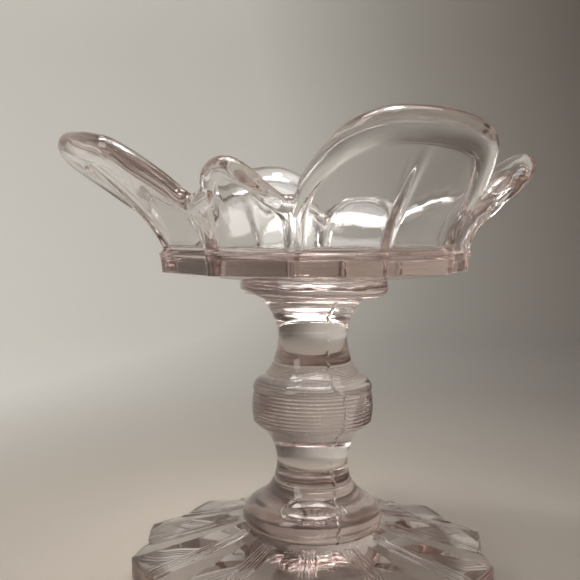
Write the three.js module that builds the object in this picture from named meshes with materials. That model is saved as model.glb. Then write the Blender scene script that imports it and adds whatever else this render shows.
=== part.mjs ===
// Pressed-glass petal-rimmed candle stand: a fluted foot, a stem with a ringed knop, a joining wafer and a bowl.
// Millimetres, +Z up, origin on the axis at the level of the surface it stands on.
// Angles are measured from -Y towards +X. A large petal points along each of -Y, +X, +Y and -X.

import * as THREE from 'three';

// ---- driving dimensions ------------------------------------------------------------------------------------

const JOINT_GAP = 0.3; // between two pieces that the real maker fused together
const PANELS = 12; // moulded panels round the bowl, and leaves round the foot
const PANEL_ANGLE = (2 * Math.PI) / PANELS;

const FOOT_RADIUS = 54.2; // at the points of the leaves
const FOOT_NOTCH_RADIUS = 50.5; // between the leaves
const FOOT_EDGE_HEIGHT = 7; // at the points of the leaves
const FOOT_TOP = 16; // where the stem stands
const FOOT_TOP_RADIUS = 20.8;
const FOOT_SAG = 0.5; // of a leaf's ridge below a straight slope, halfway out
const FOOT_LEAF_RISE = 0.9; // ridge of a leaf above its two edges, at the rim
const FOOT_TURN = THREE.MathUtils.degToRad(3.4); // the foot isn't lined up with the bowl
const FOOT_RING_INNER_RADIUS = 42; // inside edge of the flat ring that the piece stands on
const FOOT_HOLLOW_HEIGHT = 3.6; // of the shallow hollow underneath

const STEM_BOTTOM = FOOT_TOP + JOINT_GAP;
const STEM_TOP = 83.6;
const STEM_TOP_RADIUS = 18;
const RING_COUNT = 9; // fine rings round the knop
const RING_DEPTH = 0.35;
const RING_LOW = 45.6;
const RING_HIGH = 55.2;
const KNOP_RADIUS = 18.2;

const WAFER_BOTTOM = STEM_TOP + JOINT_GAP;
const WAFER_TOP = 88.2;
const WAFER_RADIUS = 22.6;
const WAFER_BOTTOM_RADIUS = 18.6;

const BOWL_BOTTOM = WAFER_TOP + JOINT_GAP;
const BOWL_SEAT_RADIUS = 23.5; // flat disc that rests on the wafer
const BAND_LOW = 90.7;
const BAND_HIGH = 96.2;
const BAND_LOW_RADIUS = 45;
const BAND_HIGH_RADIUS = 45.9;
const LEDGE = 0.5; // step from the band in to the wall
const FLOOR_HEIGHT = 95.4; // inside
const FLOOR_RADIUS = 36;
const WALL_START = { radius: 43.2, height: 97.2 };
const WALL_THICKNESS = 4;
const RIB_RISE = 0.7; // moulded rib at each panel edge

const LARGE_PETAL = {
  halfAngle: PANEL_ANGLE,
  tip: { radius: 70.4, height: 126.8 },
  bend: { radius: 48.5, height: 110.5 },
  roll: 3.2, // radius of the rounded rim at the tip
  fullness: 0.46, // how square-shouldered the outline is: less is squarer
  narrowing: 0.19, // how much narrower the petal is at its tip than its angle
};
const SMALL_PETAL = {
  halfAngle: PANEL_ANGLE / 2,
  tip: { radius: 56, height: 115.8 },
  bend: { radius: 46, height: 108 },
  roll: 2.9,
  fullness: 0.7,
  narrowing: 0,
};
const NOTCH = {
  tip: { radius: 48.8, height: 107.8 },
  bend: { radius: 44.5, height: 103 },
  roll: 2.3,
};

const BOWL_SEGMENTS = PANELS * 8;
const FOOT_SEGMENTS = PANELS * 6;
const STEM_SEGMENTS = 36;
const WALL_STEPS = 6;
const ROLL_STEPS = 6;

// ---- shape helpers -----------------------------------------------------------------------------------------

const mix = THREE.MathUtils.lerp;

// A lathed solid whose profile changes with the angle. profileAt returns points { radius, height, turn },
// from the axis below, round the outside, to the axis above, and always the same number of them.
function shapedLathe(profileAt, segments) {
  const outline = profileAt(0).map((p) => new THREE.Vector2(p.radius, p.height));
  const geometry = new THREE.LatheGeometry(outline, segments);
  const position = geometry.attributes.position;
  for (let i = 0; i <= segments; i += 1) {
    const angle = ((i % segments) * 2 * Math.PI) / segments;
    profileAt(angle).forEach((p, j) => {
      const at = angle + (p.turn ?? 0);
      const x = p.radius * Math.sin(at);
      const y = -p.radius * Math.cos(at);
      position.setXYZ(i * outline.length + j, x, y, p.height);
    });
  }
  geometry.computeVertexNormals();
  return geometry;
}

const point = (radius, height) => ({ radius, height });

// The angle from the middle of the nearest panel, from -PANEL_ANGLE / 2 to PANEL_ANGLE / 2.
function withinPanel(angle) {
  const turns = angle / PANEL_ANGLE;
  return (turns - Math.floor(turns) - 0.5) * PANEL_ANGLE;
}

// How far a straight-sided outline with its corners on the ribs lies in from a circle.
function sideFactor(angle) {
  return Math.cos(PANEL_ANGLE / 2) / Math.cos(withinPanel(angle));
}

function ribAt(angle) {
  const fromRib = PANEL_ANGLE / 2 - Math.abs(withinPanel(angle));
  return fromRib < 0.01 ? RIB_RISE : 0;
}

// ---- bowl --------------------------------------------------------------------------------------------------

// Which petal this angle falls in, and how far from its middle, from -1 to 1.
function petalAt(angle) {
  const quarter = Math.PI / 2;
  const fromLarge = angle - quarter * Math.round(angle / quarter);
  if (Math.abs(fromLarge) <= PANEL_ANGLE + 1e-9) {
    return { petal: LARGE_PETAL, across: fromLarge / LARGE_PETAL.halfAngle };
  }
  const fromSmall = Math.abs(fromLarge) - quarter / 2;
  return { petal: SMALL_PETAL, across: (Math.sign(fromLarge) * fromSmall) / SMALL_PETAL.halfAngle };
}

// The wall's middle line at this angle: its bend and its end, and the radius of its rounded rim.
function wallAt(angle) {
  const { petal, across } = petalAt(angle);
  const rise = Math.max(0, 1 - across * across) ** petal.fullness;
  const blend = (key) => point(
    mix(NOTCH[key].radius, petal[key].radius, rise),
    mix(NOTCH[key].height, petal[key].height, rise),
  );
  const offset = across * petal.halfAngle;
  return {
    bend: blend('bend'),
    tip: blend('tip'),
    roll: mix(NOTCH.roll, petal.roll, rise),
    turn: -offset * petal.narrowing * rise,
  };
}

// The wall at this angle: up its outside, round its rim and down its inside.
function wallPoints(angle) {
  const wall = wallAt(angle);
  const start = WALL_START.radius * sideFactor(angle);
  const curve = new THREE.QuadraticBezierCurve(
    new THREE.Vector2(start, WALL_START.height),
    new THREE.Vector2(wall.bend.radius, wall.bend.height),
    new THREE.Vector2(wall.tip.radius, wall.tip.height),
  );
  const beside = (t, side) => {
    const centre = curve.getPoint(t);
    const along = curve.getTangent(t);
    const half = WALL_THICKNESS / 2 + (wall.roll - WALL_THICKNESS / 2) * t ** 6;
    const rib = side > 0 ? ribAt(angle) * (1 - t) : 0;
    return {
      radius: centre.x + side * along.y * (half + rib),
      height: centre.y - side * along.x * (half + rib),
      turn: wall.turn * t ** 1.5,
    };
  };
  const outside = [];
  const inside = [];
  for (let i = 0; i < WALL_STEPS; i += 1) {
    const t = i / WALL_STEPS;
    outside.push(beside(t, 1));
    inside.unshift(beside(t, -1));
  }
  const along = curve.getTangent(1);
  const rim = [];
  for (let i = 0; i <= ROLL_STEPS; i += 1) {
    const round = (i / ROLL_STEPS - 0.5) * Math.PI;
    const forward = wall.roll * Math.cos(round);
    const over = wall.roll * Math.sin(round);
    rim.push({
      radius: wall.tip.radius + along.x * forward - along.y * over,
      height: wall.tip.height + along.y * forward + along.x * over,
      turn: wall.turn,
    });
  }
  return [...outside, ...rim, ...inside];
}

function bowlProfile(angle) {
  const side = sideFactor(angle);
  const rib = ribAt(angle);
  return [
    point(0, BOWL_BOTTOM),
    point(BOWL_SEAT_RADIUS, BOWL_BOTTOM),
    point(mix(BOWL_SEAT_RADIUS, BAND_LOW_RADIUS, 0.55), mix(BOWL_BOTTOM, BAND_LOW, 0.4)),
    point(BAND_LOW_RADIUS * side + rib, BAND_LOW),
    point(BAND_HIGH_RADIUS * side + rib, BAND_HIGH),
    point((BAND_HIGH_RADIUS - LEDGE) * side + rib, BAND_HIGH + LEDGE / 2),
    ...wallPoints(angle),
    point(FLOOR_RADIUS + 2, FLOOR_HEIGHT + 0.8),
    point(FLOOR_RADIUS, FLOOR_HEIGHT),
    point(0, FLOOR_HEIGHT),
  ];
}

// ---- wafer -------------------------------------------------------------------------------------------------

// The disc of hot glass that joined the bowl to the stem, with a soft rounded edge.
function waferProfile() {
  const edge = new THREE.SplineCurve([
    new THREE.Vector2(WAFER_BOTTOM_RADIUS, WAFER_BOTTOM),
    new THREE.Vector2(WAFER_RADIUS - 0.6, WAFER_BOTTOM + 1.6),
    new THREE.Vector2(WAFER_RADIUS, WAFER_TOP - 1.3),
    new THREE.Vector2(WAFER_RADIUS - 1, WAFER_TOP),
  ]);
  const points = edge.getPoints(6).map((p) => point(p.x, p.y));
  return [point(0, WAFER_BOTTOM), ...points, point(0, WAFER_TOP)];
}

// ---- stem --------------------------------------------------------------------------------------------------

function curveThrough(pairs, steps) {
  const curve = new THREE.SplineCurve(pairs.map(([radius, height]) => new THREE.Vector2(radius, height)));
  return curve.getPoints(steps).map((p) => point(p.x, p.y));
}

// The ringed part of the knop: a shallow barrel with a crest and a groove for each ring.
function ringPoints() {
  const points = [];
  const pitch = (RING_HIGH - RING_LOW) / RING_COUNT;
  for (let i = 0; i < RING_COUNT; i += 1) {
    const groove = RING_LOW + pitch * i;
    const crest = groove + pitch / 2;
    points.push(point(KNOP_RADIUS - RING_DEPTH - barrelDrop(groove), groove));
    points.push(point(KNOP_RADIUS - barrelDrop(crest), crest));
  }
  return points;
}

function barrelDrop(height) {
  const fromMiddle = (2 * height - RING_LOW - RING_HIGH) / (RING_HIGH - RING_LOW);
  return 0.5 * fromMiddle * fromMiddle;
}

function stemProfile() {
  const footKnobAndNeck = [
    [20.6, STEM_BOTTOM], [20.7, 18.2], [18.2, 21.6], [13.2, 25.6], [10.7, 32.4], [12, 39.4], [16.4, 44.6],
  ];
  const shoulderAndNeck = [
    [17.8, 56.2], [14.3, 60.2], [11.5, 64.6], [10.3, 71], [12.6, 78.2], [STEM_TOP_RADIUS, STEM_TOP],
  ];
  return [
    point(0, STEM_BOTTOM),
    ...curveThrough(footKnobAndNeck, 16),
    ...ringPoints(),
    ...curveThrough(shoulderAndNeck, 14),
    point(0, STEM_TOP),
  ];
}

// ---- foot --------------------------------------------------------------------------------------------------

// Leaf ridges stand halfway between the notches. ridge runs from 0 at a notch to 1 on a ridge.
function footProfile(angle) {
  const ridge = 1 - Math.abs(withinPanel(angle)) / (PANEL_ANGLE / 2);
  const rim = mix(FOOT_NOTCH_RADIUS, FOOT_RADIUS, ridge);
  const topAt = (part) => {
    const radius = mix(FOOT_TOP_RADIUS, rim, part);
    const sag = -FOOT_SAG * Math.sin(Math.PI * part);
    const leaf = FOOT_LEAF_RISE * (ridge - 1) * part;
    return point(radius, mix(FOOT_TOP, FOOT_EDGE_HEIGHT, part) + sag + leaf);
  };
  return [
    point(0, FOOT_HOLLOW_HEIGHT),
    point(14, FOOT_HOLLOW_HEIGHT),
    point(30, FOOT_HOLLOW_HEIGHT * 0.62),
    point(FOOT_RING_INNER_RADIUS, 0),
    point(rim - 1.2, 0),
    point(rim - 0.2, 0.8),
    topAt(1),
    topAt(0.75),
    topAt(0.5),
    topAt(0.25),
    topAt(0),
    point(0, FOOT_TOP),
  ];
}

// ---- assembly ----------------------------------------------------------------------------------------------

function pressedGlass() {
  return new THREE.MeshStandardMaterial({
    color: 0xcbbdb6,
    roughness: 0.05,
    metalness: 0,
    transparent: true,
    opacity: 0.35,
  });
}

function piece(name, geometry) {
  const mesh = new THREE.Mesh(geometry, pressedGlass());
  mesh.name = name;
  return mesh;
}

const foot = piece('foot', shapedLathe(footProfile, FOOT_SEGMENTS));
foot.rotation.z = FOOT_TURN;

const candleStand = new THREE.Group();
candleStand.add(
  foot,
  piece('stem', shapedLathe(stemProfile, STEM_SEGMENTS)),
  piece('wafer', shapedLathe(waferProfile, STEM_SEGMENTS)),
  piece('bowl', shapedLathe(bowlProfile, BOWL_SEGMENTS)),
);

export default candleStand;
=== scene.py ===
"""Looks for a pressed-glass candle stand with a petal-rimmed bowl, a ringed stem and a leaf-edged foot."""

import math
from collections import namedtuple

import bmesh
import bpy
from bpy.props import FloatProperty, FloatVectorProperty, IntProperty, PointerProperty
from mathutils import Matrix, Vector, noise


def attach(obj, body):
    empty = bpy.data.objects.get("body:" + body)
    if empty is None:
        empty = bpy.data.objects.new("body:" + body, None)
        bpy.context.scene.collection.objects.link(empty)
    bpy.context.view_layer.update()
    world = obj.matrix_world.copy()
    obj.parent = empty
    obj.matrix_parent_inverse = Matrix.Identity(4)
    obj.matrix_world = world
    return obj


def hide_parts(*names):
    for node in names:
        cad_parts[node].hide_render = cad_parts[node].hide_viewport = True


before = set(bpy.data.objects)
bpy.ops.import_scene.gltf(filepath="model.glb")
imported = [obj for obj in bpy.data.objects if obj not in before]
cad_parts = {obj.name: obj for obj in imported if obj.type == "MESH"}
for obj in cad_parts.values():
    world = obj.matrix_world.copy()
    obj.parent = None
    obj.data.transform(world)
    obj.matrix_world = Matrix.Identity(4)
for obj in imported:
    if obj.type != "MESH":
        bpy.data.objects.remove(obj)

bl_info = {
    "name": "Pressed Glass Candle Stand",
    "version": (1, 0, 0),
    "blender": (4, 5, 0),
    "location": "3D View > Sidebar > Candle Stand",
    "description": "Models a petal-rimmed pressed-glass candle stand over its packed solids",
    "category": "Object",
}

MM = 0.001
PANEL = math.radians(30)  # twelve moulded panels round the bowl, and twelve leaves round the foot
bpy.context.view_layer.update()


# ---- colours ---------------------------------------------------------------------------------------------


def linear(hex_colour):
    """An sRGB hex colour as linear red, green and blue."""
    channels = (int(hex_colour[place : place + 2], 16) / 255 for place in (1, 3, 5))
    return tuple(c / 12.92 if c <= 0.04045 else ((c + 0.055) / 1.055) ** 2.4 for c in channels)


# ---- settings --------------------------------------------------------------------------------------------


class BowlSettings(bpy.types.PropertyGroup):
    """Sizes of the petal bowl."""

    panel_depth: FloatProperty(
        name="Panel depth",
        description="How far each moulded panel lies in from its border",
        default=0.9 * MM,
        min=0.0,
        unit="LENGTH",
    )
    rib_rise: FloatProperty(
        name="Rib rise",
        description="How far the ribs between the panels stand out",
        default=0.65 * MM,
        min=0.0,
        unit="LENGTH",
    )
    wall_thickness: FloatProperty(
        name="Wall thickness",
        description="Thickness of the glass between the band and the rolled rim",
        default=3.9 * MM,
        min=0.0,
        unit="LENGTH",
    )


class StemSettings(bpy.types.PropertyGroup):
    """Sizes of the ringed stem."""

    ring_count: IntProperty(
        name="Rings", description="How many fine rings go round the knop", default=9, min=1
    )
    ring_depth: FloatProperty(
        name="Ring depth",
        description="Depth of the grooves between the rings",
        default=0.42 * MM,
        min=0.0,
        unit="LENGTH",
    )
    seam_rise: FloatProperty(
        name="Seam rise",
        description="How far the seam left by the mould stands out",
        default=0.6 * MM,
        min=0.0,
        unit="LENGTH",
    )


class FootSettings(bpy.types.PropertyGroup):
    """Sizes of the leaf-edged foot."""

    turn: FloatProperty(
        name="Turn",
        description="How far the foot is turned against the bowl",
        default=math.radians(3.4),
        subtype="ANGLE",
        unit="ROTATION",
    )
    reed_rise: FloatProperty(
        name="Reed rise",
        description="Height of the fine reeds in the valleys between the leaves",
        default=0.2 * MM,
        min=0.0,
        unit="LENGTH",
    )


class GlassSettings(bpy.types.PropertyGroup):
    """Colour and finish of the glass."""

    tint: FloatVectorProperty(
        name="Tint",
        description="Colour that the glass turns where it is thick",
        subtype="COLOR",
        size=3,
        min=0.0,
        max=1.0,
        default=linear("#d9c3bb"),
    )
    tint_density: FloatProperty(
        name="Tint density", description="How soon the tint shows", default=20.0, min=0.0
    )
    roughness: FloatProperty(
        name="Roughness",
        description="Roughness of the fire-polished surface",
        default=0.02,
        min=0.0,
        max=1.0,
        subtype="FACTOR",
    )


class StageSettings(bpy.types.PropertyGroup):
    """Floor, backdrop, lights and camera."""

    # Pale end of the painted light and shade on the wall: the backdrop's colour is painted lighter on its
    # side towards the lamps.
    backdrop: FloatVectorProperty(
        name="Backdrop",
        description="Colour of the wall at its bright side",
        subtype="COLOR",
        size=3,
        min=0.0,
        max=1.0,
        default=linear("#dcdad4"),
    )
    # Painted shade: the wall's colour is darkened towards the side away from the lamps, in place of light
    # falling off round the room.
    backdrop_painted_shade: FloatVectorProperty(
        name="Backdrop shade",
        description="Colour of the wall at the side away from the light",
        subtype="COLOR",
        size=3,
        min=0.0,
        max=1.0,
        default=linear("#5a4e46"),
    )
    key_power: FloatProperty(
        name="Key light", description="Power of the soft light overhead", default=1.2, min=0.0, unit="POWER"
    )
    side_power: FloatProperty(
        name="Side light",
        description="Power of the soft light at the left",
        default=1.3,
        min=0.0,
        unit="POWER",
    )
    wall_power: FloatProperty(
        name="Wall light",
        description="Power of the soft light on the wall",
        default=4.8,
        min=0.0,
        unit="POWER",
    )
    camera_height: FloatProperty(
        name="Camera height", description="Height of the lens above the floor", default=0.1018, unit="LENGTH"
    )
    camera_distance: FloatProperty(
        name="Camera distance",
        description="From the lens to the axis of the stand",
        default=0.24495,
        unit="LENGTH",
    )
    lens: FloatProperty(name="Lens", description="Focal length", default=51.05, min=1.0, unit="CAMERA")


# ---- shape helpers ---------------------------------------------------------------------------------------


def mix(start, end, part):
    return start + (end - start) * part


def ease(low, high, value):
    """Rises smoothly from 0 at low to 1 at high."""
    part = min(1.0, max(0.0, (value - low) / (high - low)))
    return part * part * (3 - 2 * part)


def soft_least(first, second, blend):
    """The smaller of two lengths, with the corner between them rounded over a length of blend."""
    part = max(0.0, blend - abs(first - second)) / blend
    return min(first, second) - part * part * blend / 4


def within_panel(angle):
    """The angle from the middle of the nearest panel."""
    turns = angle / PANEL
    return (turns - math.floor(turns) - 0.5) * PANEL


def from_rib(angle):
    """The angle from the nearest line between two panels."""
    return PANEL / 2 - abs(within_panel(angle))


def side_factor(angle):
    """How far a twelve-sided outline with its corners on the ribs lies in from a circle."""
    return math.cos(PANEL / 2) / math.cos(within_panel(angle))


def around(radius, height, angle):
    """A point at this angle, measured from -Y towards +X."""
    return Vector((radius * math.sin(angle), -radius * math.cos(angle), height))


def spline_through(points, steps):
    """Points evenly along a smooth curve through the given (radius, height) pairs."""
    rows = [points[0], *points, points[-1]]
    spans = len(points) - 1
    curve = []
    for step in range(steps + 1):
        place = min(step * spans / steps, spans - 1e-9)
        span = int(place)
        t = place - span
        before, start, end, after = rows[span : span + 4]
        curve.append(
            tuple(
                0.5
                * (
                    2 * s
                    + (e - b) * t
                    + (2 * b - 5 * s + 4 * e - a) * t * t
                    + (3 * s - b - 3 * e + a) * t * t * t
                )
                for b, s, e, a in zip(before, start, end, after)
            )
        )
    return curve


def between(values, across):
    """The value at a place from -1 to 1 on a smooth curve through evenly spaced values."""
    place = min(max((across + 1) / 2 * (len(values) - 1), 0.0), len(values) - 1 - 1e-9)
    span = int(place)
    t = place - span
    b, s, e, a = [values[0], *values, values[-1]][span : span + 4]
    return 0.5 * (
        2 * s + (e - b) * t + (2 * b - 5 * s + 4 * e - a) * t * t + (3 * s - b - 3 * e + a) * t * t * t
    )


def soft_most(first, second, blend):
    """The larger of two lengths, with the corner between them filled over a length of blend."""
    return -soft_least(-first, -second, blend)


def ripple(place, size, seed):
    """Slow unevenness of a surface that was polished in the fire, from -1 to 1."""
    return noise.noise(place / size + Vector((seed, seed * 1.7, seed * 2.3)))


def spun_piece(name, stations, steps, place, spacing):
    """Spins a chain of vertices a full turn, then moves each to its place for its angle and its station.

    place(angle) gives every station's point in millimetres. spacing(angle) crowds the steps where the
    detail is.
    """
    mesh = bmesh.new()
    station = mesh.verts.layers.int.new("station")
    chain = []
    for number in range(stations):
        vertex = mesh.verts.new((0.0, -0.01, number * MM))
        vertex[station] = number
        chain.append(vertex)
    edges = [mesh.edges.new(pair) for pair in zip(chain, chain[1:])]
    bmesh.ops.spin(
        mesh,
        geom=chain + edges,
        cent=(0, 0, 0),
        axis=(0, 0, 1),
        angle=math.tau,
        steps=steps,
        use_merge=True,
    )
    rows = [place(spacing(step * math.tau / steps)) for step in range(steps)]
    for vertex in mesh.verts:
        turned = math.atan2(vertex.co.x, -vertex.co.y) / math.tau
        vertex.co = rows[round(turned * steps) % steps][vertex[station]] * MM
    bmesh.ops.remove_doubles(mesh, verts=mesh.verts, dist=0.002 * MM)
    bmesh.ops.recalc_face_normals(mesh, faces=mesh.faces)
    for face in mesh.faces:
        face.smooth = True
    data = bpy.data.meshes.new(name)
    mesh.to_mesh(data)
    mesh.free()
    piece = bpy.data.objects.new(name, data)
    bpy.context.scene.collection.objects.link(piece)
    return piece


def crowd_ribs(angle):
    """Brings the steps closer together at the lines between the panels."""
    return angle - 0.62 * math.sin(angle * math.tau / PANEL) * PANEL / math.tau


def stand_for(piece, node, material):
    """Gives a piece its glass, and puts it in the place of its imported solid."""
    piece.data.materials.append(material)
    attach(piece, "root")
    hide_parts(node)


# ---- bowl ------------------------------------------------------------------------------------------------

# tip and bend are the end of the wall's middle line and the point that it bends towards. roll is the radius
# of the rounded rim, and border the depth of the thick bead under it. rise says how far up from the notches
# to the tip the outline has come, at nine places across the petal, and turn how many degrees it was pushed
# over while hot.
Petal = namedtuple("Petal", "centre half tip bend roll border rise turn")

SMALL_RISE = (0, 0.6, 0.84, 0.96, 1, 0.96, 0.84, 0.6, 0)
SMALL_TURN = (0, 1.2, 1.1, 0.6, 0, -0.6, -1.1, -1.2, 0)
PETALS = (
    Petal(
        *(0, 30, (69.6, 126.9), (48.5, 111.0), 3.2, 4.8),
        (0, 0.58, 0.80, 0.93, 0.96, 0.94, 0.88, 0.72, 0),
        (0, 2.2, -1.4, -3.4, -4.9, -5.0, -5.6, -7.0, 0),
    ),
    Petal(
        *(45, 15, (55.6, 115.6), (46.0, 107.5), 2.9, 2.2),
        (0, 0.3, 0.5, 0.78, 0.95, 0.95, 0.84, 0.58, 0),
        (0, 3.4, 3.4, 2.4, 2.1, 2.2, 2.0, 1.4, 0),
    ),
    Petal(
        *(90, 30, (69.4, 124.1), (48.5, 110.5), 3.2, 4.8),
        (0, 0.59, 0.85, 0.95, 0.93, 0.76, 0.56, 0.33, 0),
        (0, 2.2, 0.6, -2.3, -5.4, -7.4, -7.6, -5.6, 0),
    ),
    Petal(135, 15, (56.0, 115.0), (46.0, 108.0), 2.9, 2.2, SMALL_RISE, SMALL_TURN),
    Petal(
        *(180, 30, (68.0, 123.5), (48.5, 110.5), 3.2, 4.8),
        (0, 0.6, 0.91, 0.99, 0.95, 0.86, 0.56, 0.24, 0),
        (0, 0.3, -1.5, -4.0, -6.4, -6.7, -7.1, -6.0, 0),
    ),
    Petal(225, 15, (56.0, 115.0), (46.0, 108.0), 2.9, 2.2, SMALL_RISE, SMALL_TURN),
    Petal(
        *(270, 30, (69.7, 124.5), (48.5, 109.6), 3.2, 4.8),
        (0, 0.58, 0.8, 0.93, 1.0, 0.98, 0.93, 0.76, 0),
        (0, 4.2, 3.9, 2.4, 0.3, -1.3, -2.6, -3.5, 0),
    ),
    Petal(
        *(315, 15, (57.5, 116.8), (46.0, 108.5), 2.9, 2.2),
        (0, 0.32, 0.7, 0.94, 0.98, 0.73, 0.33, 0.03, 0),
        (0, 3.9, 2.6, 1.4, 0.9, 0.3, -0.3, -0.3, 0),
    ),
)
# The low places between the petals, at 30, 60, 120 and 150 degrees and so on: radius and height of the
# middle line.
NOTCHES = {
    30: (48.6, 106.4),
    60: (48.6, 106.4),
    120: (48.8, 107.8),
    150: (48.8, 107.8),
    210: (48.8, 107.8),
    240: (48.8, 107.8),
    300: (51.0, 108.6),
    330: (47.0, 108.6),
}
NOTCH_BEND = (44.5, 103.0)
NOTCH_ROLL = 2.3
WALL_FOOT = (43.2, 97.2)
BAND_LOW = (45.0, 90.7)
BAND_HIGH = (45.9, 96.2)
FLOOR_HEIGHT = 95.4
FLOOR_RADIUS = 36.0
PANEL_STATIONS = 22
BORDER_STATIONS = 14
EDGE_STATIONS = 10
ROLL_STATIONS = 14
INSIDE_STATIONS = 26


def wall_at(angle):
    """The petal at this angle, how far from its middle (-1 to 1), and the wall's bend, tip, roll and turn."""
    degrees = math.degrees(angle) % 360
    for petal in PETALS:
        offset = (degrees - petal.centre + 180) % 360 - 180
        if abs(offset) <= petal.half + 1e-6:
            break
    across = offset / petal.half
    low = NOTCHES[(petal.centre - petal.half) % 360]
    high = NOTCHES[(petal.centre + petal.half) % 360]
    base = Vector(low).lerp(Vector(high), (across + 1) / 2)
    rise = between(petal.rise, across)
    tip = base.lerp(Vector(petal.tip), rise)
    bend = Vector(NOTCH_BEND).lerp(Vector(petal.bend), rise)
    roll = mix(NOTCH_ROLL, petal.roll, rise)
    turn = math.radians(between(petal.turn, across))
    return petal, across, bend, tip, roll, turn


def curve_point(start, bend, tip, t):
    """A point on a curved wall line, and the direction that it runs in there."""
    point = start * (1 - t) ** 2 + bend * 2 * t * (1 - t) + tip * t * t
    along = ((bend - start) * (1 - t) + (tip - bend) * t).normalized()
    return point, along


def rim_frame(angle):
    """The middle of the rolled rim at this angle, the way it bulges at the edge, and the way out of the wall.

    The rim is round across its own run, except in the notches, where it lies straight up the wall.
    """

    def middle(at):
        _, _, _, tip, _, turn = wall_at(at)
        return around(tip.x, tip.y, at + turn)

    _, across, bend, tip, _, turn = wall_at(angle)
    start = Vector((WALL_FOOT[0] * side_factor(angle), WALL_FOOT[1]))
    _, along = curve_point(start, bend, tip, 1.0)
    up_wall = around(along.x, along.y, angle + turn)
    out_of_wall = around(along.y, -along.x, angle + turn)
    step = math.radians(0.4)
    run = middle(angle + step) - middle(angle - step)
    edge = 1 - abs(across)
    forward = out_of_wall.cross(run).normalized()
    if forward.dot(up_wall) < 0:
        forward = -forward
    forward = up_wall.lerp(forward, ease(0.0, 0.16, edge)).normalized()
    outward = (out_of_wall - forward * out_of_wall.dot(forward)).normalized()
    return middle(angle), forward, outward


def bowl_profile(angle):
    """Every station of the bowl at this angle: underside, band, wall, rim, inside and floor."""
    bowl = bpy.context.scene.candle_bowl
    panel_depth = bowl.panel_depth / MM
    rib_rise = bowl.rib_rise / MM
    half_wall = bowl.wall_thickness / MM / 2
    petal, across, bend, tip, roll, turn = wall_at(angle)
    side = side_factor(angle)
    start = Vector((WALL_FOOT[0] * side, WALL_FOOT[1]))
    samples = [curve_point(start, bend, tip, n / 12)[0] for n in range(13)]
    length = sum((b - a).length for a, b in zip(samples, samples[1:]))
    arch = length - petal.border
    middle_rib = petal.half > 20 and abs(across) < 0.5

    def rib(radius, reach, turned=0.0):
        return rib_rise * (1 - ease(0.35, reach, from_rib(angle + turned) * radius))

    def wall(s, outward):
        t = min(1.0, max(0.0, s / length))
        point, along = curve_point(start, bend, tip, t)
        normal = Vector((along.y, -along.x))
        down = min(1.0, (length - s) / petal.border)
        bead = roll * math.sqrt(max(0.0, 1 - down * down))
        half = half_wall
        if outward:
            edge = (1 - abs(across)) * math.radians(petal.half) * point.x
            inside = soft_least(edge - mix(1.3, 1.9, t), arch + 0.6 - s, 2.2)
            inside = soft_least(inside, s + 0.1, 0.8)
            half -= panel_depth * ease(0.0, 1.0, inside)
            fade = (1 - ease(0.35, 0.95, t)) * 1.15 if middle_rib else (1 - t) ** 0.5
            half += rib(point.x, 1.7, turn * t**1.5) * fade
            point = point + normal * soft_most(half, bead, 0.35)
        else:
            point = point - normal * soft_most(half, bead, 1.6)
        return around(point.x, point.y, angle + turn * t**1.5)

    def flat(radius, height):
        return around(radius, height, angle)

    band_rib = rib(45.0, 1.3) * 0.8
    low_radius = BAND_LOW[0] * side + band_rib
    high_radius = BAND_HIGH[0] * side + band_rib
    profile = [flat(0, 88.4), flat(10, 88.4), flat(20, 88.4), flat(23.3, 88.4), flat(23.5, 88.5)]
    for part in (0.1, 0.25, 0.4, 0.55, 0.7, 0.82, 0.91, 0.97):
        sag = 0.5 * math.sin(math.pi * part)
        profile.append(flat(mix(23.5, low_radius - 0.3, part), mix(88.5, BAND_LOW[1], part**1.2) - sag * 0.4))
    profile += [
        flat(low_radius - 0.12, BAND_LOW[1] + 0.03),
        flat(low_radius, BAND_LOW[1] + 0.18),
    ]
    for part in (0.12, 0.3, 0.5, 0.7, 0.88):
        hollow = 0.18 * math.sin(math.pi * part)
        radius, height = mix(low_radius, high_radius, part) - hollow, mix(BAND_LOW[1], BAND_HIGH[1], part)
        profile.append(flat(radius, height))
    profile += [
        flat(high_radius, BAND_HIGH[1] - 0.22),
        flat(high_radius - 0.06, BAND_HIGH[1] - 0.06),
        flat(high_radius - 0.22, BAND_HIGH[1]),
    ]
    ring = wall(0.0, True)
    inner = math.hypot(ring.x, ring.y)
    for part in (0.35, 0.7):
        profile.append(flat(mix(high_radius - 0.22, inner, part), mix(BAND_HIGH[1], ring.z, part * 0.6)))
    step_low = max(0.5, arch - 0.6)
    step_high = max(1.5, arch + 1.6)
    for n in range(PANEL_STATIONS):
        profile.append(wall(mix(0.0, step_low, n / PANEL_STATIONS), True))
    for n in range(BORDER_STATIONS):
        profile.append(wall(mix(step_low, step_high, n / BORDER_STATIONS), True))
    for n in range(EDGE_STATIONS):
        profile.append(wall(mix(step_high, length, n / EDGE_STATIONS), True))
    rim, forward, outward = rim_frame(angle)
    for n in range(ROLL_STATIONS + 1):
        round_angle = (0.5 - n / ROLL_STATIONS) * math.pi
        profile.append(rim + (forward * math.cos(round_angle) + outward * math.sin(round_angle)) * roll)
    for n in range(1, INSIDE_STATIONS + 1):
        profile.append(wall(length * (1 - n / INSIDE_STATIONS), False))
    floor_edge = profile[-1]
    floor_edge_radius = math.hypot(floor_edge.x, floor_edge.y)
    for part in (0.2, 0.4, 0.6, 0.8, 1.0):
        profile.append(
            flat(
                mix(floor_edge_radius, FLOOR_RADIUS, part),
                mix(floor_edge.z, FLOOR_HEIGHT, math.sin(part * math.pi / 2)),
            )
        )
    profile += [flat(radius, FLOOR_HEIGHT) for radius in (30, 22, 12, 5, 0)]
    return [uneven(point, 3.0) for point in profile]


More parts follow.
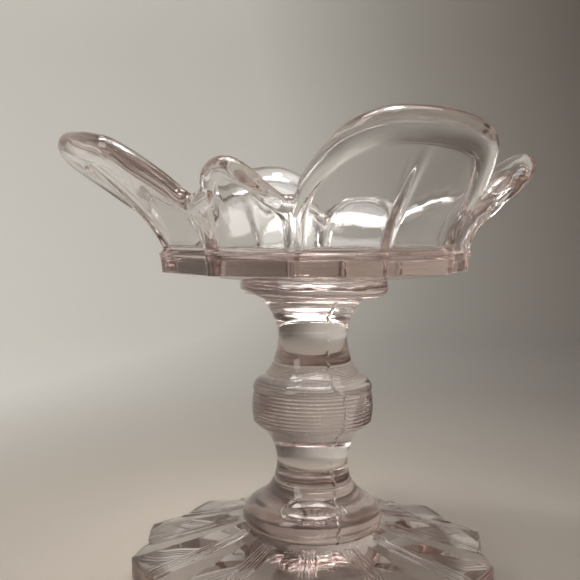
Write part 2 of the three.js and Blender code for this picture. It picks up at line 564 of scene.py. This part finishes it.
def uneven(point, seed):
    """Moves a point by the slight unevenness of hot-worked glass, which is least near the axis."""
    reach = min(1.0, math.hypot(point.x, point.y) / 40) * ease(96, 112, point.z)
    shift = Vector((ripple(point, 17, seed), ripple(point, 17, seed + 5), ripple(point, 17, seed + 9) * 0.5))
    return point + shift * (0.45 * reach)


class CANDLE_OT_bowl(bpy.types.Operator):
    """Models the petal bowl: panels, ribs, band and rolled rim"""

    bl_idname = "candle.bowl"
    bl_label = "Petal Bowl"

    def execute(self, context):
        stations = len(bowl_profile(0.0))
        piece = spun_piece("petal_bowl", stations, 480, bowl_profile, crowd_ribs)
        stand_for(piece, "bowl", pressed_glass())
        return {"FINISHED"}


# ---- wafer -----------------------------------------------------------------------------------------------


def wafer_profile(angle):
    """The squeezed disc of hot glass between the bowl and the stem. It hangs lower and wider on one side."""
    lean = math.cos(angle - math.radians(67))
    swell = 0.4 * ripple(Vector((math.sin(angle), math.cos(angle), 0.3)) * 9, 6, 2.0)
    sag = 0.75 * (1 + lean)
    low, high = 83.8, 88.5
    wide = 21.85 + 0.45 * math.sin(angle) + swell
    edge = [
        (17.2, low),
        (18.2, low + 0.1 - 0.6 * sag),
        (19.4 + 0.4 * swell, low + 0.25 - 0.9 * sag),
        (wide - 0.9, low + 0.6 - 0.8 * sag),
        (wide - 0.15, low + 1.5 - 0.6 * sag),
        (wide, low + 2.6 - 0.4 * sag),
        (wide - 0.2, high - 0.9),
        (wide - 0.8, high - 0.25),
        (wide - 1.8, high),
    ]
    profile = [around(radius, low, angle) for radius in (0, 8, 15)]
    profile += [around(radius, height, angle) for radius, height in spline_through(edge, 34)]
    profile += [around(radius, high, angle) for radius in (15, 8, 0)]
    for point in profile:
        if math.hypot(point.x, point.y) > 18.0 and point.z < high - 0.3:
            point.z += 0.2 * ripple(point, 3.5, 7.0)
    return profile


class CANDLE_OT_wafer(bpy.types.Operator):
    """Models the wafer that joins the bowl to the stem"""

    bl_idname = "candle.wafer"
    bl_label = "Joining Wafer"

    def execute(self, context):
        stations = len(wafer_profile(0.0))
        piece = spun_piece("joining_wafer", stations, 288, wafer_profile, lambda angle: angle)
        stand_for(piece, "wafer", pressed_glass())
        return {"FINISHED"}


# ---- stem ------------------------------------------------------------------------------------------------

FOOT_TOP = (20.75, 16.0)


def seat_height(radius, angle):
    """Height of the joint between the foot and the stem, where the glass droops towards the front."""
    return FOOT_TOP[1] - 1.7 * ease(8, FOOT_TOP[0], radius) * (0.5 + 0.5 * math.cos(angle))


LOWER_STEM = (
    (20.65, 16.1),
    (20.95, 17.0),
    (20.8, 18.3),
    (20.0, 19.9),
    (18.2, 21.7),
    (15.4, 23.5),
    (13.2, 25.6),
    (11.6, 28.4),
    (10.75, 32.1),
    (10.9, 35.8),
    (12.0, 39.5),
    (13.4, 41.7),
    (15.0, 43.4),
    (16.6, 44.6),
)
UPPER_STEM = (
    (17.9, 55.6),
    (17.75, 56.6),
    (16.7, 58.1),
    (14.4, 60.0),
    (12.5, 62.2),
    (11.5, 64.5),
    (10.7, 67.6),
    (10.3, 70.6),
    (10.5, 73.0),
    (11.3, 75.9),
    (12.6, 78.6),
    (14.0, 80.7),
    (15.0, 81.8),
    (16.3, 82.8),
    (17.3, 83.5),
)
RING_LOW, RING_HIGH, KNOP_RADIUS = 45.4, 55.0, 18.2


def stem_outline():
    """Radius and height down the outside of the stem, from the foot to the wafer."""
    stem = bpy.context.scene.candle_stem
    pitch = (RING_HIGH - RING_LOW) / stem.ring_count
    outline = spline_through(LOWER_STEM, 78)
    for n in range(stem.ring_count * 9 + 1):
        height = RING_LOW + n * pitch / 9
        from_middle = (2 * height - RING_LOW - RING_HIGH) / (RING_HIGH - RING_LOW)
        groove = abs(math.cos(math.pi * (height - RING_LOW) / pitch)) ** 3
        outline.append((KNOP_RADIUS - 0.6 * from_middle**2 - stem.ring_depth / MM * groove, height))
    return outline + spline_through(UPPER_STEM, 78)


def seam_line(height):
    """Angle of the mould seam at this height. It steps from side to side where the mould's parts met."""
    stops = (
        *((16, -4), (20, -3), (24, 5), (28, 9), (40, 6), (44, 5), (46, 7), (55, 7), (58.5, -4), (64, -2)),
        *((70, 1), (78, -1), (81, 1), (84, 4)),
    )
    for (low, from_angle), (high, to_angle) in zip(stops, stops[1:]):
        if height <= high:
            return math.radians(mix(from_angle, to_angle, ease(low, high, height)))
    return math.radians(stops[-1][1])


def stem_profile(angle):
    stem = bpy.context.scene.candle_stem
    rise = stem.seam_rise / MM
    profile = [around(radius, seat_height(radius, angle) - 0.1, angle) for radius in (0, 8, 12, 15, 18, 20.3)]
    droop = FOOT_TOP[1] - seat_height(FOOT_TOP[0], angle)
    for radius, height in stem_outline():
        height -= droop * (1 - ease(16, 20, height))
        wander = math.radians(2.2) * noise.noise(Vector((5, 2, height * 0.55)))
        away = (angle - seam_line(height) - wander + math.pi) % math.tau - math.pi
        width = 0.38 + 0.15 * noise.noise(Vector((0, 3, height * 1.3)))
        worn = 0.6 + 0.6 * noise.noise(Vector((1, 7, height * 0.9)))
        seam = rise * math.exp(-((away * radius / width) ** 2)) * worn
        skew = 0.12 * ripple(around(radius, height, angle), 15, 4.0)
        profile.append(around(radius + seam + skew, height, angle))
    profile += [around(radius, 84.0, angle) for radius in (17.2, 15, 8, 0)]
    return profile


def crowd_seam(angle):
    """Brings the steps closer together at the front, where the seam is."""
    return angle - 0.7 * math.sin(angle)


class CANDLE_OT_stem(bpy.types.Operator):
    """Models the stem: two necks, the ringed knop and the mould seam"""

    bl_idname = "candle.stem"
    bl_label = "Ringed Stem"

    def execute(self, context):
        stations = len(stem_profile(0.0))
        piece = spun_piece("ringed_stem", stations, 360, stem_profile, crowd_seam)
        stand_for(piece, "stem", pressed_glass())
        return {"FINISHED"}


# ---- foot ------------------------------------------------------------------------------------------------

FOOT_POINT, FOOT_NOTCH = 54.1, 50.6
FOOT_EDGE_HEIGHT = 7.0


def foot_profile(angle):
    """Twelve leaves with a ridge down the middle of each and a reeded bar in each valley between them."""
    foot = bpy.context.scene.candle_foot
    ridge = 1 - abs(within_panel(angle)) / (PANEL / 2)
    droop = FOOT_TOP[1] - seat_height(FOOT_TOP[0], angle + foot.turn)
    rim = mix(FOOT_NOTCH, FOOT_POINT, ridge)
    turned = angle + foot.turn

    def top(part):
        radius = mix(FOOT_TOP[0], rim, part)
        sag = -0.5 * math.sin(math.pi * part)
        leaf = mix(0.5, 1.0, part) * (ridge - 1) - droop * (1 - ease(0, 0.8, part))
        away = from_rib(angle) * radius
        pitch = mix(0.85, 1.3, part)
        bar = 1 - ease(2.5 * pitch - 0.5, 2.5 * pitch, away)
        reeds = (0.5 + 0.5 * math.cos(math.tau * away / pitch)) * foot.reed_rise / MM
        fade = ease(0.03, 0.1, part) * (1 - ease(0.92, 0.99, part))
        height = mix(FOOT_TOP[1], FOOT_EDGE_HEIGHT, part) + sag + leaf + (reeds + 0.3) * bar * fade
        return around(radius, height, turned)

    def flat(radius, height):
        return around(radius, height, turned)

    profile = [flat(0, 3.6), flat(7, 3.6), flat(14, 3.55)]
    profile += [flat(mix(14, 41.6, n / 10), mix(3.55, 0.12, (n / 10) ** 1.6)) for n in range(1, 11)]
    profile += [flat(42.0, 0.0), flat(45, 0.0), flat(rim - 1.4, 0.0), flat(rim - 0.9, 0.05)]
    profile += [flat(rim - 0.35, 0.35), flat(rim - 0.1, 0.9)]
    edge_height = top(1.0).z
    profile += [flat(mix(rim - 0.1, rim, n / 5), mix(0.9, edge_height - 0.4, n / 5)) for n in range(1, 6)]
    profile += [flat(rim - 0.05, edge_height - 0.12), flat(rim - 0.2, edge_height)]
    profile += [top(1 - 0.006 - (0.994) * n / 44) for n in range(45)]
    profile += [flat(radius, seat_height(radius, turned)) for radius in (20.0, 18, 15, 12, 8, 0)]
    return profile


class CANDLE_OT_foot(bpy.types.Operator):
    """Models the foot: leaves, reeded valleys and the ring that it stands on"""

    bl_idname = "candle.foot"
    bl_label = "Leaf Foot"

    def execute(self, context):
        stations = len(foot_profile(0.0))
        piece = spun_piece("pressed_foot", stations, 600, foot_profile, crowd_ribs)
        stand_for(piece, "foot", pressed_glass())
        return {"FINISHED"}


# ---- glass -----------------------------------------------------------------------------------------------


def add(tree, kind, settings=None, inputs=None):
    """Adds a node with its settings. An input is a value, or another node's output to link."""
    node = tree.nodes.new(kind)
    for key, value in (settings or {}).items():
        setattr(node, key, value)
    for key, value in (inputs or {}).items():
        if isinstance(value, bpy.types.NodeSocket):
            tree.links.new(value, node.inputs[key])
        else:
            node.inputs[key].default_value = value
    return node


def pressed_glass():
    """Soda-lime glass pressed in a mould and fire-polished: bright and clear, with slow ripples, fine mould
    grain and tiny seeds, and a rose cast where it is thick, from the manganese in the batch."""
    name = "fire_polished_pressed_glass"
    if name in bpy.data.materials:
        return bpy.data.materials[name]
    glass = bpy.context.scene.candle_glass
    material = bpy.data.materials.new(name)
    material.use_nodes = True
    tree = material.node_tree
    tree.nodes.clear()
    place = add(tree, "ShaderNodeTexCoord").outputs["Object"]
    grain = add(
        tree,
        "ShaderNodeTexNoise",
        {"noise_dimensions": "3D"},
        {"Vector": place, "Scale": 700.0, "Detail": 3.0, "Roughness": 0.6},
    )
    wear = add(
        tree,
        "ShaderNodeTexNoise",
        None,
        {"Vector": place, "Scale": 60.0, "Detail": 4.0, "Roughness": 0.55},
    )
    roughness = add(
        tree,
        "ShaderNodeMapRange",
        None,
        {
            "Value": wear.outputs["Fac"],
            "From Min": 0.4,
            "From Max": 0.75,
            "To Min": glass.roughness * 0.5,
            "To Max": glass.roughness * 2.5,
        },
    )
    slow = add(
        tree,
        "ShaderNodeTexNoise",
        None,
        {"Vector": place, "Scale": 90.0, "Detail": 1.0, "Roughness": 0.4, "Distortion": 0.3},
    )
    ripples = add(
        tree,
        "ShaderNodeBump",
        None,
        {"Strength": 0.35, "Distance": 0.0003, "Height": slow.outputs["Fac"]},
    )
    surface = add(
        tree,
        "ShaderNodeBump",
        None,
        {
            "Strength": 0.12,
            "Distance": 0.00006,
            "Height": grain.outputs["Fac"],
            "Normal": ripples.outputs["Normal"],
        },
    )
    shader = add(
        tree,
        "ShaderNodeBsdfPrincipled",
        None,
        {
            "Base Color": (1.0, 1.0, 1.0, 1.0),
            "Roughness": roughness.outputs["Result"],
            "IOR": 1.52,
            "Transmission Weight": 1.0,
            "Normal": surface.outputs["Normal"],
        },
    )
    depth = add(
        tree,
        "ShaderNodeVolumeAbsorption",
        None,
        {"Color": (*glass.tint, 1.0), "Density": glass.tint_density},
    )
    out = add(tree, "ShaderNodeOutputMaterial")
    tree.links.new(shader.outputs["BSDF"], out.inputs["Surface"])
    tree.links.new(depth.outputs["Volume"], out.inputs["Volume"])
    return material


# ---- stage -----------------------------------------------------------------------------------------------


def card_with_painted_shade(pale, painted_shade_colour):
    """Matt card for a glass table, with painted light and shade: the floor and the side towards the lamps are
    pale, and the wall's colour is painted darker round the room to umber, in place of light that falls away,
    which also gives the clear edges a deep umber to bend."""
    material = bpy.data.materials.new("matt_painted_card")
    material.use_nodes = True
    tree = material.node_tree
    tree.nodes.clear()
    place = add(tree, "ShaderNodeTexCoord").outputs["Object"]
    # Painted light and shade: the wall's colour is lightest towards this heading, where the lamps fall, and
    # darker away from it and higher up.
    heading = math.radians(138)
    painted_lit_side = (math.cos(heading), math.sin(heading), -0.22)
    painted_light_falloff = add(
        tree, "ShaderNodeVectorMath", {"operation": "DOT_PRODUCT"}, {0: place, 1: painted_lit_side}
    )
    painted_falloff_range = add(
        tree,
        "ShaderNodeMapRange",
        None,
        {"Value": painted_light_falloff.outputs["Value"], "From Min": -0.75, "From Max": 0.75},
    )
    # Ramp of painted shade, from the shade colour up to the pale lit tone.
    shade = add(tree, "ShaderNodeValToRGB", None, {"Fac": painted_falloff_range.outputs["Result"]})
    stops = shade.color_ramp.elements
    stops[0].position, stops[0].color = 0.0, (*painted_shade_colour, 1.0)
    stops[1].position, stops[1].color = 1.0, (*pale, 1.0)
    for position, part in ((0.4, 0.14), (0.55, 0.46), (0.68, 0.92)):
        stops.new(position).color = (*[mix(d, p, part) for d, p in zip(painted_shade_colour, pale)], 1.0)
    flat = add(
        tree, "ShaderNodeVectorMath", {"operation": "MULTIPLY"}, {0: place, 1: (1.0, 1.0, 0.0)}
    )
    reach = add(tree, "ShaderNodeVectorMath", {"operation": "LENGTH"}, {0: flat.outputs["Vector"]})
    # From 6 to 32 cm out, the floor's even tone gives way to the painted light and shade of the wall.
    wall = add(
        tree,
        "ShaderNodeMapRange",
        {"interpolation_type": "SMOOTHSTEP"},
        {"Value": reach.outputs["Value"], "From Min": 0.06, "From Max": 0.32},
    )
    floor_and_painted_shade = add(
        tree,
        "ShaderNodeMix",
        {"data_type": "RGBA"},
        {"Factor": wall.outputs["Result"]},
    )
    floor_and_painted_shade.inputs["A"].default_value = (*linear("#b6ada2"), 1.0)
    tree.links.new(shade.outputs["Color"], floor_and_painted_shade.inputs["B"])
    mottle = add(tree, "ShaderNodeTexNoise", None, {"Vector": place, "Scale": 25.0, "Detail": 3.0})
    roughness = add(
        tree,
        "ShaderNodeMapRange",
        None,
        {"Value": mottle.outputs["Fac"], "To Min": 0.85, "To Max": 0.95},
    )
    shader = add(
        tree,
        "ShaderNodeBsdfPrincipled",
        None,
        {"Base Color": floor_and_painted_shade.outputs["Result"], "Roughness": roughness.outputs["Result"]},
    )
    out = add(tree, "ShaderNodeOutputMaterial")
    tree.links.new(shader.outputs["BSDF"], out.inputs["Surface"])
    return material


def area_light(name, where, aim, size, power, colour):
    lamp = bpy.data.lights.new(name, "AREA")
    lamp.shape = "RECTANGLE"
    lamp.size, lamp.size_y = size
    lamp.energy = power
    lamp.color = colour
    light = bpy.data.objects.new(name, lamp)
    light.location = where
    light.rotation_mode = "QUATERNION"
    light.rotation_quaternion = (Vector(aim) - Vector(where)).to_track_quat("-Z", "Y")
    bpy.context.scene.collection.objects.link(light)
    return light


class CANDLE_OT_stage(bpy.types.Operator):
    """Builds the floor that curves up all round, the soft lights and the camera"""

    bl_idname = "candle.stage"
    bl_label = "Stage"

    def execute(self, context):
        stage = context.scene.candle_stage
        self.cove(stage)
        self.lights(stage)
        self.camera(context, stage)
        return {"FINISHED"}

    def cove(self, stage):
        mesh = bmesh.new()
        corner = [
            (0.9 - 0.35 + 0.35 * math.sin(math.radians(a)), 0.35 - 0.35 * math.cos(math.radians(a)))
            for a in range(0, 91, 6)
        ]
        outline = [(0.0, 0.0), (0.3, 0.0), *corner, (0.9, 1.3)]
        chain = [mesh.verts.new((radius, 0.0, height - 0.0002)) for radius, height in outline]
        edges = [mesh.edges.new(pair) for pair in zip(chain, chain[1:])]
        bmesh.ops.spin(
            mesh, geom=chain + edges, cent=(0, 0, 0), axis=(0, 0, 1), angle=math.tau, steps=96, use_merge=True
        )
        bmesh.ops.remove_doubles(mesh, verts=mesh.verts, dist=1e-5)
        bmesh.ops.recalc_face_normals(mesh, faces=mesh.faces)
        middle = min(mesh.faces, key=lambda face: face.calc_center_median().length)
        if middle.normal.z < 0:
            bmesh.ops.reverse_faces(mesh, faces=mesh.faces)
        for face in mesh.faces:
            face.smooth = True
        data = bpy.data.meshes.new("backdrop")
        mesh.to_mesh(data)
        mesh.free()
        backdrop = bpy.data.objects.new("backdrop", data)
        bpy.context.scene.collection.objects.link(backdrop)
        # The backdrop's card carries painted light and shade.
        data.materials.append(card_with_painted_shade(stage.backdrop, stage.backdrop_painted_shade))

    def lights(self, stage):
        warm = (1.0, 0.985, 0.965)
        area_light("overhead_light", (-0.1, 0.1, 1.0), (0, 0, 0.1), (0.4, 0.4), stage.key_power, warm)
        area_light("side_light", (-0.62, -0.2, 0.55), (0, 0, 0.1), (0.25, 0.5), stage.side_power, warm)
        area_light("wall_light", (-0.3, 0.15, 0.95), (-0.1, 0.9, 0.3), (0.3, 0.3), stage.wall_power, warm)
        # A card and a small lamp add glints to the rims. They show in the glass and don't light the floor.
        card = area_light("glint_card", (0.04, -0.05, 0.6), (0, 0, 0.1), (0.5, 0.4), 1.9, warm)
        lamp = area_light("glint_lamp", (0.03, -0.06, 0.55), (0, 0, 0.1), (0.15, 0.15), 2.2, warm)
        for reflected in (card, lamp):
            reflected.visible_diffuse = False
        world = bpy.data.worlds.new("studio_room")
        world.use_nodes = True
        world.node_tree.nodes["Background"].inputs["Color"].default_value = (*linear("#cac8c5"), 1.0)
        world.node_tree.nodes["Background"].inputs["Strength"].default_value = 0.6
        bpy.context.scene.world = world
        bpy.context.scene.view_settings.view_transform = "Standard"
        # Light bounces many times inside thick glass before it comes out.
        cycles = bpy.context.scene.cycles
        cycles.max_bounces = 40
        cycles.transmission_bounces = 40
        cycles.glossy_bounces = 24

    def camera(self, context, stage):
        lens = bpy.data.cameras.new("camera")
        lens.lens = stage.lens
        lens.sensor_width = 36.0
        lens.clip_start, lens.clip_end = 0.01, 10.0
        camera = bpy.data.objects.new("camera", lens)
        stand = math.radians(-24.3)  # from the front, towards the left
        camera.location = (
            stage.camera_distance * math.sin(stand),
            -stage.camera_distance * math.cos(stand),
            stage.camera_height,
        )
        camera.rotation_euler = (math.radians(90 - 4.006), 0.0, math.radians(67.27 - 90))
        context.scene.collection.objects.link(camera)
        context.scene.camera = camera


# ---- panel and registration ------------------------------------------------------------------------------


class CANDLE_PT_panel(bpy.types.Panel):
    """Lists the pieces of the stand and their sizes"""

    bl_idname = "CANDLE_PT_panel"
    bl_label = "Candle Stand"
    bl_space_type = "VIEW_3D"
    bl_region_type = "UI"
    bl_category = "Candle Stand"

    def draw(self, context):
        layout = self.layout
        for operator, settings in STEPS:
            box = layout.box()
            box.operator(operator)
            if settings:
                group = getattr(context.scene, settings)
                for key in group.__annotations__:
                    box.prop(group, key)


STEPS = (
    ("candle.foot", "candle_foot"),
    ("candle.stem", "candle_stem"),
    ("candle.wafer", "candle_glass"),
    ("candle.bowl", "candle_bowl"),
    ("candle.stage", "candle_stage"),
)
SETTINGS = {
    "candle_bowl": BowlSettings,
    "candle_stem": StemSettings,
    "candle_foot": FootSettings,
    "candle_glass": GlassSettings,
    "candle_stage": StageSettings,
}
CLASSES = (
    *SETTINGS.values(),
    CANDLE_OT_foot,
    CANDLE_OT_stem,
    CANDLE_OT_wafer,
    CANDLE_OT_bowl,
    CANDLE_OT_stage,
    CANDLE_PT_panel,
)


def register():
    for cls in CLASSES:
        bpy.utils.register_class(cls)
    for name, group in SETTINGS.items():
        setattr(bpy.types.Scene, name, PointerProperty(type=group))


def unregister():
    for name in SETTINGS:
        delattr(bpy.types.Scene, name)
    for cls in reversed(CLASSES):
        bpy.utils.unregister_class(cls)


def main():
    register()
    bpy.ops.candle.foot()
    bpy.ops.candle.stem()
    bpy.ops.candle.wafer()
    bpy.ops.candle.bowl()
    bpy.ops.candle.stage()


if __name__ == "__main__":
    main()
